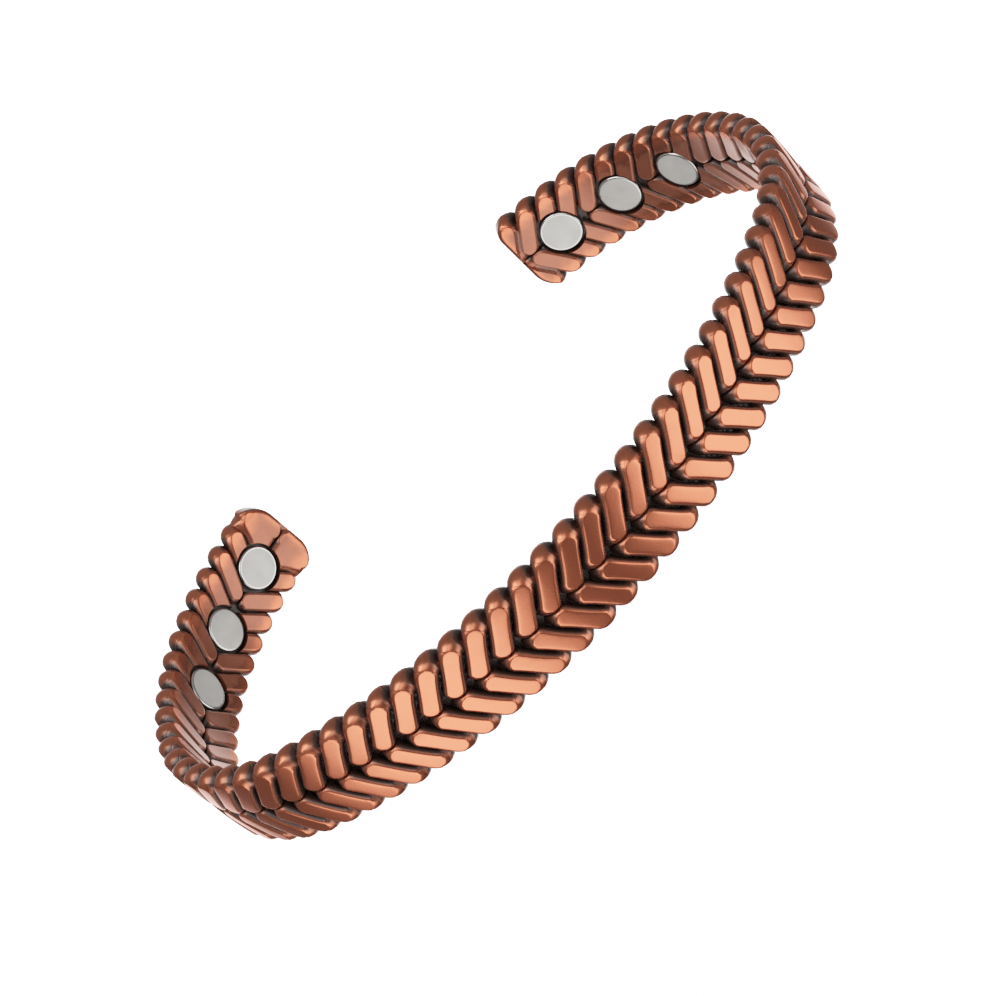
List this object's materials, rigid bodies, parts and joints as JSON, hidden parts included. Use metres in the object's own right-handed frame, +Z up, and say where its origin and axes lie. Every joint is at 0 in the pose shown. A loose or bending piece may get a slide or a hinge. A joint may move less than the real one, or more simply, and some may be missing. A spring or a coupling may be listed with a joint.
{
  "type": "magnetic copper cuff bracelet",
  "caption": "Open oval cuff bracelet of twisted copper wire strands pressed into a flat herringbone band, with round disc magnets let into the inner face near both rounded ends.",
  "frame": {"origin": "centre of the bounding box's underside, on the surface that the cuff's lower edge lies on", "axes": "+Z up through the wrist hole, across the band; +X along the cuff's long width; +Y from the middle of the back towards the opening between the tips"},
  "size_m": [0.0766, 0.0508, 0.0096],
  "materials": {
    "copper_upper": "satin copper with dark patina in the grooves",
    "copper_lower": "satin copper with dark patina in the grooves",
    "magnet": "satin nickel plate"
  },
  "bodies": {
    "root": {"upper_strand": "copper_upper", "lower_strand": "copper_lower", "magnet_left_1": "magnet", "magnet_left_2": "magnet", "magnet_left_3": "magnet", "magnet_right_1": "magnet", "magnet_right_2": "magnet", "magnet_right_3": "magnet"}
  },
  "joints": []
}
